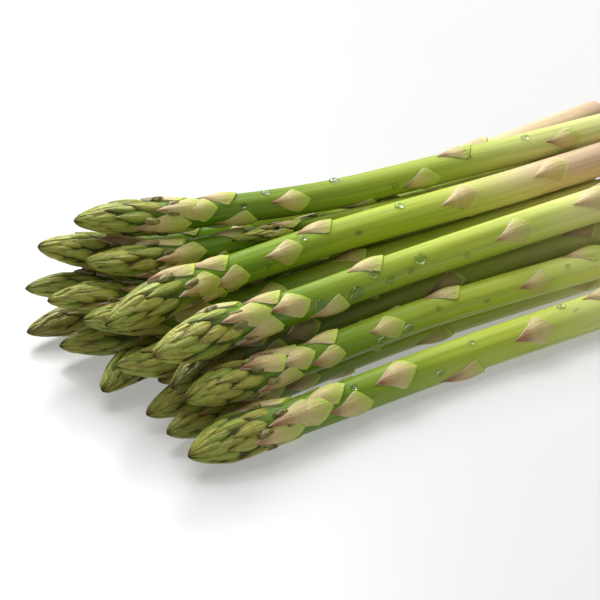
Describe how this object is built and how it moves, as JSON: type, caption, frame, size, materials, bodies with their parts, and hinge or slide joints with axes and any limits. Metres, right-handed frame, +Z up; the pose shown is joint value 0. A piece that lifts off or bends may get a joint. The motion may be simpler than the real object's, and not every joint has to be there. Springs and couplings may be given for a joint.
{
  "type": "asparagus bundle",
  "caption": "Loose bundle of fresh green asparagus lying on its side, closed bud heads together at one end and flat cut butts at the other.",
  "frame": {"origin": "centre of the bounding box at table level", "axes": "X runs along the spears with the tips at -X and the cut butts at +X, Y runs across the heap, Z is up"},
  "size_m": [0.2436, 0.1198, 0.0521],
  "materials": {
    "green_spear": "waxy fresh green skin, slightly glossy",
    "purple_spear": "waxy olive skin flushed with purple brown"
  },
  "bodies": {
    "root": {"bottom_spear_1": "green_spear", "bottom_spear_2": "green_spear", "bottom_spear_3": "green_spear", "bottom_spear_4": "green_spear", "bottom_spear_5": "green_spear", "bottom_spear_6": "green_spear", "bottom_spear_7": "purple_spear", "second_row_spear_1": "green_spear", "second_row_spear_2": "purple_spear", "second_row_spear_3": "green_spear", "second_row_spear_4": "green_spear", "second_row_spear_5": "green_spear", "second_row_spear_6": "green_spear", "third_row_spear_1": "green_spear", "third_row_spear_2": "green_spear", "third_row_spear_3": "green_spear", "third_row_spear_4": "green_spear", "top_spear_1": "green_spear", "top_spear_2": "green_spear"}
  },
  "joints": []
}
